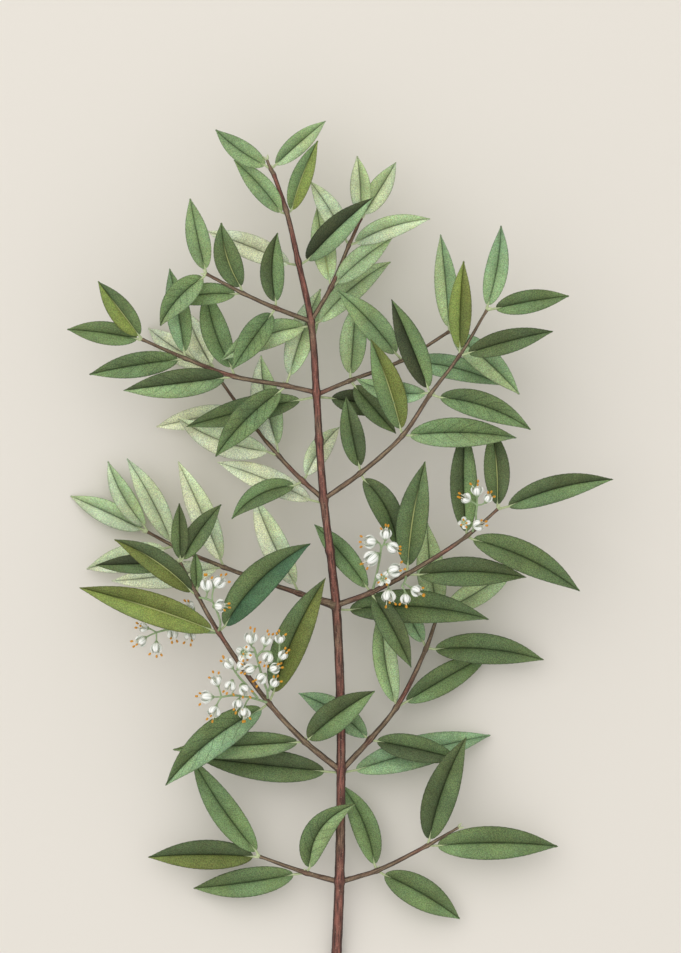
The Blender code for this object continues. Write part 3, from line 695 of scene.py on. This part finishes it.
def smooth_path(points, radii, spacing):
    """Points and radii along a smooth curve through the given ones, about spacing mm apart."""
    runs = [(b - a).normalized() for a, b in zip(points, points[1:])]
    headings = [runs[0]] + [(a + b).normalized() for a, b in zip(runs, runs[1:])] + [runs[-1]]
    path = [(points[0], radii[0])]
    for i in range(len(points) - 1):
        a, b = points[i], points[i + 1]
        span = (b - a).length
        steps = max(1, round(span / MM / spacing))
        for k in range(1, steps + 1):
            t = k / steps
            out = headings[i] * span * t * (1 - t) ** 2
            into = headings[i + 1] * span * t * t * (t - 1)
            blend = t * t * (3 - 2 * t)
            path.append((a.lerp(b, blend) + out + into, radii[i] + (radii[i + 1] - radii[i]) * t))
    return path


def swell_at(path, knots):
    """Thickens a path a little where leaves or side shoots leave it."""
    swollen = []
    for point, radius in path:
        near = min((point - knot).length for knot in knots) / MM
        swollen.append((point, radius * (1 + NODE_SWELL * math.exp(-((near / NODE_SPAN) ** 2)))))
    return swollen


def limb(bm, uv_layer, path, sides, relief=0.0, seed=0.0, flat_start=False, material=0):
    """A round limb through (point, radius in mm) with grooves of relief mm, closed at its ends."""
    first, last = path[0], path[-1]
    run_in = 0.0 if flat_start else 0.5
    start = (first[0] - (path[1][0] - first[0]).normalized() * first[1] * run_in * MM, 0.0)
    end = (last[0] + (last[0] - path[-2][0]).normalized() * last[1] * 0.5 * MM, 0.0)
    path = [start] + list(path) + [end]
    reach = path[-1][0] - path[0][0]
    upright = abs(reach.normalized().z) > 0.8
    reference = Vector((0, 1, 0)) if upright else Vector((0, 0, 1))
    lengths = [0.0]
    for a, b in zip(path, path[1:]):
        lengths.append(lengths[-1] + (b[0] - a[0]).length / MM)
    frames = []
    for i, (point, radius) in enumerate(path):
        heading = (path[min(i + 1, len(path) - 1)][0] - path[max(i - 1, 0)][0]).normalized()
        left = reference.cross(heading).normalized()
        frames.append((point, radius, left, heading.cross(left)))
    made = bmesh.ops.create_grid(bm, x_segments=len(path) - 1, y_segments=sides, size=1.0)
    grid = made["verts"]
    spots = {}
    for vert in grid:
        station = round((vert.co.x + 1) / 2 * (len(path) - 1))
        side = round((vert.co.y + 1) / 2 * sides)
        spots[vert] = (station, side)
    for face in {f for v in grid for f in v.link_faces}:
        face.material_index = material
        for loop in face.loops:
            station, side = spots[loop.vert]
            loop[uv_layer].uv = (side / sides, lengths[station])
    for vert, (station, side) in spots.items():
        point, radius, left, up = frames[station]
        angle = 2 * math.pi * (side % sides) / sides
        c, s = math.cos(angle), math.sin(angle)
        groove = noise.noise(Vector((c * 1.9, s * 1.9, lengths[station] * 0.16 + seed)))
        knobs = noise.noise(Vector((c * 3.5, s * 3.5, lengths[station] * 0.8 + seed)))
        reach = max(radius + relief * (groove + 0.5 * knobs) * min(radius, 1.0), 0.0) if radius > 0 else 0.0
        vert.co = point + (left * c + up * s) * reach * MM
    bmesh.ops.remove_doubles(bm, verts=grid, dist=1e-7)


def blade_share(t):
    """The half width of a blade at t along it, as a share of its greatest half width."""
    return math.sin(math.pi * min(t, 1.0) ** 0.8) ** (0.7 + 0.3 * t**3) if 0 < t < 1 else 0.0


class Midrib:
    """The line a blade is built on, from its foot to its tip, arching sideways and upwards."""

    def __init__(self, foot, tip, bow):
        self.foot = foot
        self.along = tip - foot
        self.left = Vector((0, 0, 1)).cross(self.along).normalized()
        self.up = self.along.cross(self.left).normalized()
        self.bow = bow * MM
        self.arch = LEAF_ARCH * self.along.length

    def point(self, t):
        swell = 4 * t * (1 - t)
        return self.foot + self.along * t + self.left * self.bow * swell + self.up * self.arch * swell

    def across(self, t):
        """The unit vectors to the left and upwards, square to the midrib at t."""
        turn = 4 * (1 - 2 * t)
        heading = self.along + self.left * self.bow * turn + self.up * self.arch * turn
        left = self.up.cross(heading).normalized()
        return left, heading.cross(left).normalized()


def tint_blade(faces, spots, uv_layer, painted_light_and_marks_layer, tones, fades):
    """Gives each half of a blade its tone, which fades a little from foot to tip.

    Painted light and shade part the two halves most along the rib, the lighter half lit brighter and the darker one
    shaded darker there; they come closer together at their margins.
    """
    order = list(TONES)
    clear = 1.0 if "+" in tones else 0.25
    pale = 1.0 if "-" in tones else 0.0
    tones = tones.strip("+-")
    lead = linear(TONES[tones[0]].colour)[1] - linear(TONES[tones[-1]].colour)[1]
    lead = max(-1.0, min(1.0, lead * 6))
    for face in faces:
        is_left = sum(spots[v][2] for v in face.verts) > 0
        side = 1 if is_left else -1
        face.material_index = order.index(tones[0] if is_left else tones[-1])
        for loop in face.loops:
            t, out = spots[loop.vert][1:]
            loop[uv_layer].uv = (t, 0.5 + out / 2)
            # painted light on the lighter half and painted shade on the darker half, strongest at the rib, times a
            # random fade from foot to tip
            painted_light_and_fade = 1 + PAINTED_RIB_SHADING * side * lead * (1 - 2 * abs(out))
            painted_light_and_fade *= 1 + fades[0 if is_left else 1] * (2 * t - 1)
            loop[painted_light_and_marks_layer] = [painted_light_and_fade, pale, 0.0, clear]


def blade(piece, midrib, width, tones, seed):
    """A leaf blade: two arched halves that rise from a grooved rib, with fine teeth."""
    columns = len(LEAF_COLUMNS) - 1
    made = bmesh.ops.create_grid(piece.bm, x_segments=LEAF_STATIONS, y_segments=columns, size=1.0)
    grid = made["verts"]
    spots = {}
    for vert in grid:
        station = round((vert.co.x + 1) / 2 * LEAF_STATIONS)
        column = round((vert.co.y + 1) / 2 * columns)
        share = station / LEAF_STATIONS
        t = 0.6 * share + 0.4 * (1 - math.cos(math.pi * share)) / 2
        spots[vert] = (station, t, LEAF_COLUMNS[column])
    faces = {f for v in grid for f in v.link_faces}
    fades = (FADE_ALONG * math.sin(2.3 * seed), FADE_ALONG * math.sin(3.1 * seed))
    tint_blade(faces, spots, piece.uv, piece.fade, tones, fades)
    for vert, (station, t, out) in spots.items():
        left, up = midrib.across(t)
        half = width / 2 * blade_share(t)
        tooth = TOOTH_DEPTH * (station % 2) * min(1.0, half) if abs(out) > 0.99 else 0.0
        side = abs(out)
        rise = half * math.sin(LEAF_FOLD) * (1.7 * side - 0.85 * side**2)
        wave = noise.noise(Vector((t * 3.2, math.copysign(0.7, out), seed)))
        rise += 0.9 * wave * side * min(1.0, half / 3)
        groove = RIB_GROOVE * min(1.0, half) * max(0.0, 1 - side / 0.05)
        reach = math.copysign(side * half - tooth, out)
        vert.co = midrib.point(t) + (left * reach + up * (rise - groove)) * MM
    bmesh.ops.remove_doubles(piece.bm, verts=grid, dist=1e-7)


def leaf_stalk(bm, uv_layer, root, midrib):
    """A leaf's stalk, swollen where it leaves the twig, running on as the rib under the blade."""
    path = [(root, STALK_RADIUS * 1.25), (root.lerp(midrib.foot, 0.45), STALK_RADIUS * 0.95)]
    path.append((midrib.foot, STALK_RADIUS * 0.95))
    for t in (0.04, 0.1, 0.18, 0.3, 0.5, 0.75):
        left, up = midrib.across(t)
        radius = STALK_RADIUS * (0.85 - 0.75 * t)
        sink = 0.5 * min(1.0, t / 0.08)
        path.append((midrib.point(t) - up * sink * MM, radius))
    limb(bm, uv_layer, path, 8)


def leaf_root(shoot_point, spec):
    tip = Vector((spec.x, spec.y, spec.z)) * MM
    towards = (tip - shoot_point).normalized()
    foot = shoot_point + towards * spec.stalk * MM
    return Midrib(foot, tip, spec.bow)


def stem_seat(spec):
    """Where a leaf on the main stem leaves the bark."""
    knot = MAIN_STEM[spec.knot]
    below = (place_of(MAIN_STEM[spec.knot - 1]) - place_of(knot)).normalized()
    seat = place_of(knot) + below * SEAT_DROP * MM - Vector((0, 0, SEAT_LOWER * MM))
    towards = Vector((spec.x, spec.y, spec.z)) * MM - seat
    aside = (towards - below * towards.dot(below)).normalized()
    return seat, seat + aside * (knot.radius + STALK_RADIUS) * MM


class Piece:
    """A mesh in the making, with the UV map its finish reads."""

    def __init__(self, name, uv_name, materials):
        self.name = name
        self.bm = bmesh.new()
        self.uv = self.bm.loops.layers.uv.new(uv_name)
        self.fade = self.bm.loops.layers.float_color.new("fade") if uv_name == "blade" else None
        self.materials = materials

    def finish(self, slot, replaced=(), thickness=0.0, smooth=50):
        """Makes the object. A thickness turns open blades or petals into closed skins."""
        if not thickness:
            bmesh.ops.recalc_face_normals(self.bm, faces=self.bm.faces)
        mesh = bpy.data.meshes.new(self.name)
        self.bm.to_mesh(mesh)
        self.bm.free()
        for material in self.materials:
            mesh.materials.append(material)
        mesh.shade_smooth()
        mesh.set_sharp_from_angle(angle=math.radians(smooth))
        item = bpy.data.objects.new(self.name, mesh)
        bpy.context.scene.collection.objects.link(item)
        if thickness:
            skin = item.modifiers.new("thickness", "SOLIDIFY")
            skin.thickness = thickness * MM
            skin.offset = -1.0
        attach(item, "root")
        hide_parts(*replaced)
        return item


def bud(bm, uv_layer, place, towards, length, radius):
    """A small pointed bud of two scales."""
    path = []
    for share, girth in ((0.0, 0.55), (0.2, 0.95), (0.45, 1.0), (0.7, 0.72), (0.9, 0.35), (1.0, 0.12)):
        path.append((place + towards * length * share * MM, radius * girth))
    limb(bm, uv_layer, path, 8)


def nearest_on(lines, point):
    found = []
    for line in lines:
        for a, b in zip(line, line[1:]):
            run = b - a
            share = max(0.0, min(1.0, (point - a).dot(run) / run.length_squared - 0.25))
            spot = a + run * share
            found.append(((point - spot).length, tuple(spot)))
    return Vector(min(found)[1])


PETAL_LENGTH = 4.2
PETAL_WIDTH = 3.1
PETAL_THICKNESS = 0.14
FLOWER_RADIUS = 2.0
ANTHER_REACH = 3.4


def petal(piece, turn, spread, size, frame):
    """A cupped petal round the flower's middle. Spread is 0 on a closed flower and 1 on an open one."""
    made = bmesh.ops.create_grid(piece.bm, x_segments=5, y_segments=4, size=1.0)
    grid = made["verts"]
    spots = {v: ((v.co.x + 1) / 2, v.co.y) for v in grid}
    for face in {f for v in grid for f in v.link_faces}:
        for loop in face.loops:
            a, b = spots[loop.vert]
            loop[piece.uv].uv = (a, 0.5 + b / 2)
    for vert, (a, b) in spots.items():
        half = PETAL_WIDTH / 2 * math.sin(math.pi * (0.2 + 0.77 * a)) ** 0.45
        radius = FLOWER_RADIUS * math.sin(math.pi * (0.12 + 0.66 * a)) + 1.9 * spread * a**1.3
        high = PETAL_LENGTH * a * (1 - 0.6 * spread * a)
        wrap = b * half / max(radius, 0.8)
        radius += 0.3 * (1 - b * b) * math.sin(math.pi * a)
        local = Vector((math.cos(wrap) * radius, math.sin(wrap) * radius, high))
        vert.co = frame @ (Matrix.Rotation(turn, 3, "Z") @ local * size * MM)


def stamen(piece, base, frame, angle, lean, size):
    """A pale thread that stands out of the flower and ends in a two-lobed orange anther."""
    side = frame @ Vector((math.cos(angle), math.sin(angle), 0))
    axis = frame @ Vector((0, 0, 1))
    low = base + (axis * 1.2 + side * 0.4) * size * MM
    tip = base + (axis * (PETAL_LENGTH * 0.5 + ANTHER_REACH * math.cos(lean))) * size * MM
    tip += side * ANTHER_REACH * math.sin(lean) * size * MM
    bend = low.lerp(tip, 0.55) + axis * 0.5 * MM
    limb(piece.bm, piece.uv, smooth_path([low, bend, tip], [0.17, 0.15, 0.14], 0.8), 5)
    along = (tip - bend).normalized()
    path = [(tip - along * 0.3 * MM, 0.3), (tip + along * 0.1 * MM, 0.42), (tip + along * 0.5 * MM, 0.45)]
    path.append((tip + along * 0.85 * MM, 0.3))
    limb(piece.bm, piece.uv, path, 6, material=1)


def flower_parts(petals, cups, threads, spec, axis, draw):
    """One flower: a green cup, four cupped petals and the stamens that stand out of them."""
    turn = draw.uniform(0, math.pi)
    spread = 1.0 if spec.heading is None else draw.uniform(0.05, 0.3)
    middle = Vector((spec.x, spec.y, spec.z)) * MM
    base = middle - axis * PETAL_LENGTH / 2 * (1 - 0.5 * spread) * spec.size * MM
    facing = axis.to_track_quat("Z", "Y").to_matrix()
    frame = Matrix.Translation(base) @ facing.to_4x4()
    for k in range(4):
        petal(petals, turn + k * math.pi / 2, spread, spec.size, frame)
    path = [(base - axis * 0.7 * MM, 0.45), (base - axis * 0.3 * MM, 0.75), (base + axis * 0.3 * MM, 0.95)]
    path.append((base + axis * 0.6 * MM, 0.9))
    limb(cups.bm, cups.uv, path, 8)
    count = 4 if spec.heading is None else 3
    first = draw.uniform(0, 2 * math.pi)
    for k in range(count):
        lean = draw.uniform(0.55, 0.9) if k else draw.uniform(0.05, 0.3)
        stamen(threads, base, facing, first + k * 2 * math.pi / count, lean, spec.size)


def build_limbs(stem_bark, twig_bark, pith):
    """The main stem and every side shoot, down to the last leaf, as one barked mesh."""
    piece = Piece("stem_and_twigs", "bark", [stem_bark, pith, twig_bark])
    knots = [place_of(k) for k in MAIN_STEM]
    path = smooth_path(knots, [k.radius for k in MAIN_STEM], 0.9)
    path = [(p, r) for p, r in path if p.y > (CUT_Y + 0.3) * MM]
    foot = path[0][0].copy()
    foot.y = CUT_Y * MM
    path.insert(0, (foot, path[0][1]))
    swollen = swell_at(path, knots[2:])
    limb(piece.bm, piece.uv, swollen, 22, 0.16, flat_start=True)
    for face in piece.bm.faces:
        if all(v.co.y < (CUT_Y + 0.05) * MM for v in face.verts):
            face.material_index = 1
    for index, shoot in enumerate(SHOOTS):
        points = [place_of(k) for k in shoot.knots]
        path = smooth_path(points, [k.radius for k in shoot.knots], 0.8)
        limb(piece.bm, piece.uv, swell_at(path, points), 14, 0.14, 7.3 * (index + 1), material=2)
    nodes = ["main_stem"] + ["bough_" + s.name for s in SHOOTS if s.name != "leading_tip"]
    return piece.finish("bark", nodes)


def build_leaves(skins, stalk_skin):
    stalks = Piece("leaf_stalks", "stalk", [stalk_skin])
    seed = 0.0
    groups = [("leaves_" + s.name, ["foliage_" + s.name], s) for s in SHOOTS]
    for name, replaced, shoot in groups:
        piece = Piece(name, "blade", skins)
        for spec in shoot.leaves:
            seed += 1.7
            root = place_of(shoot.knots[spec.knot])
            midrib = leaf_root(root, spec)
            blade(piece, midrib, spec.width, spec.tones, seed)
            leaf_stalk(stalks.bm, stalks.uv, root, midrib)
        piece.finish("foliage", replaced, LEAF_THICKNESS)
    piece = Piece("leaves_main_stem", "blade", skins)
    for spec in STEM_LEAVES.values():
        seed += 1.7
        seat, start = stem_seat(spec)
        midrib = leaf_root(start, spec)
        blade(piece, midrib, spec.width, spec.tones, seed)
        leaf_stalk(stalks.bm, stalks.uv, seat, midrib)
    piece.finish("foliage", list(STEM_LEAVES), LEAF_THICKNESS)
    stalks.finish("foliage")


def build_buds(skin):
    """A resting bud in the angle of every leaf on the side shoots, and a pair at the end of every shoot."""
    piece = Piece("buds", "bud", [skin])
    for shoot in SHOOTS:
        for spec in shoot.leaves:
            root = place_of(shoot.knots[spec.knot])
            after = shoot.knots[min(spec.knot + 1, len(shoot.knots) - 1)]
            before = shoot.knots[spec.knot - 1]
            onward = (place_of(after) - place_of(before)).normalized()
            towards = (leaf_root(root, spec).foot - root).normalized()
            lean = (towards + onward * 1.1).normalized()
            radius = shoot.knots[spec.knot].radius
            bud(piece.bm, piece.uv, root + lean * radius * 0.7 * MM, lean, 1.5, 0.42)
        last, before = place_of(shoot.knots[-1]), place_of(shoot.knots[-2])
        onward = (last - before).normalized()
        aside = Vector((0, 0, 1)).cross(onward).normalized()
        for lean in (aside, -aside):
            bud(piece.bm, piece.uv, last + lean * 0.25 * MM, (onward + lean * 0.35).normalized(), 2.3, 0.5)
    piece.finish("foliage")


def build_blossom(petal_finish, cup_finish, thread_finish, anther_finish):
    """Every truss: its green stalks, and the flowers on them."""
    draw = random.Random(5)
    petals = Piece("petals", "petal", [petal_finish])
    cups = Piece("flower_cups_and_stalks", "stalk", [cup_finish])
    threads = Piece("stamens", "stalk", [thread_finish, anther_finish])
    for truss in TRUSSES:
        lines = [[Vector(p) * MM for p in line] for line in truss.lines]
        for line in lines:
            radii = [0.5] + [0.44] * (len(line) - 2) + [0.38]
            limb(cups.bm, cups.uv, smooth_path(line, radii, 1.0), 8, 0.05)
        for spec in truss.flowers:
            centre = Vector((spec.x, spec.y, spec.z)) * MM
            start = nearest_on(lines, centre)
            if spec.heading is None:
                axis = Vector((0.1, -0.1, 1.0)).normalized()
            else:
                heading = math.radians(spec.heading)
                axis = Vector((math.cos(heading), math.sin(heading), draw.uniform(0.1, 0.4))).normalized()
            end = centre - axis * (PETAL_LENGTH / 2 + 0.4) * spec.size * MM
            bend = start.lerp(end, 0.6) - axis * 0.5 * MM
            limb(cups.bm, cups.uv, smooth_path([start, bend, end], [0.38, 0.32, 0.34], 0.8), 7)
            flower_parts(petals, cups, threads, spec, axis, draw)
    names = [truss.name for truss in TRUSSES]
    petals.finish("blossom", names, PETAL_THICKNESS)
    cups.finish("foliage")
    threads.finish("blossom")


def build_table():
    bpy.ops.mesh.primitive_plane_add(size=6.0, location=(0, 0, -0.0002))
    table = bpy.context.object
    table.name = "table"
    finish = Finish("table_paint", 0.8)
    finish.set(finish.shader.inputs["Base Color"], linear((226, 220, 210)))
    table.data.materials.append(finish.material)


def add_light(name, place, size, power, colour=(1, 1, 1)):
    data = bpy.data.lights.new(name, "AREA")
    data.size = size
    data.energy = power
    data.color = colour
    lamp = bpy.data.objects.new(name, data)
    lamp.location = place
    lamp.rotation_euler = (Vector((0, 0.03, 0.02)) - Vector(place)).to_track_quat("-Z", "Y").to_euler()
    bpy.context.scene.collection.objects.link(lamp)


def build_studio():
    add_light("window", (-0.95, 1.0, 2.3), 3.0, 26)
    world = bpy.data.worlds.new("room")
    world.use_nodes = True
    world.node_tree.nodes["Background"].inputs["Color"].default_value = (1, 1, 1, 1)
    world.node_tree.nodes["Background"].inputs["Strength"].default_value = 0.84
    bpy.context.scene.world = world
    bpy.context.scene.view_settings.view_transform = "Standard"
    lens = bpy.data.cameras.new("camera")
    lens.sensor_fit = "VERTICAL"
    lens.sensor_height = 24.0
    lens.lens = 24.0 * CAMERA_HEIGHT / (FRAME_HIGH * PIXEL * MM)
    lens.clip_end = 50
    camera = bpy.data.objects.new("camera", lens)
    camera.location = (FRAME_MIDDLE[0] * MM, FRAME_MIDDLE[1] * MM, CAMERA_HEIGHT)
    bpy.context.scene.collection.objects.link(camera)
    bpy.context.scene.camera = camera


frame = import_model()

build_limbs(
    bark_skin("stem_bark", 0.45, 0.8),
    bark_skin("twig_bark", 0.25, 0.55),
    plain_skin("pith", (196, 176, 132), 0.8),
)
build_leaves([leaf_skin(tone) for tone in TONES.values()], plain_skin("leaf_stalk", (178, 190, 142), 0.55))
build_buds(plain_skin("bud", (196, 204, 160), 0.55))
build_blossom(
    petal_skin(),
    plain_skin("cup", (148, 170, 124), 0.55),
    plain_skin("thread", (232, 232, 208), 0.5),
    plain_skin("anther", (214, 148, 26), 0.55, 1400),
)
build_table()
build_studio()
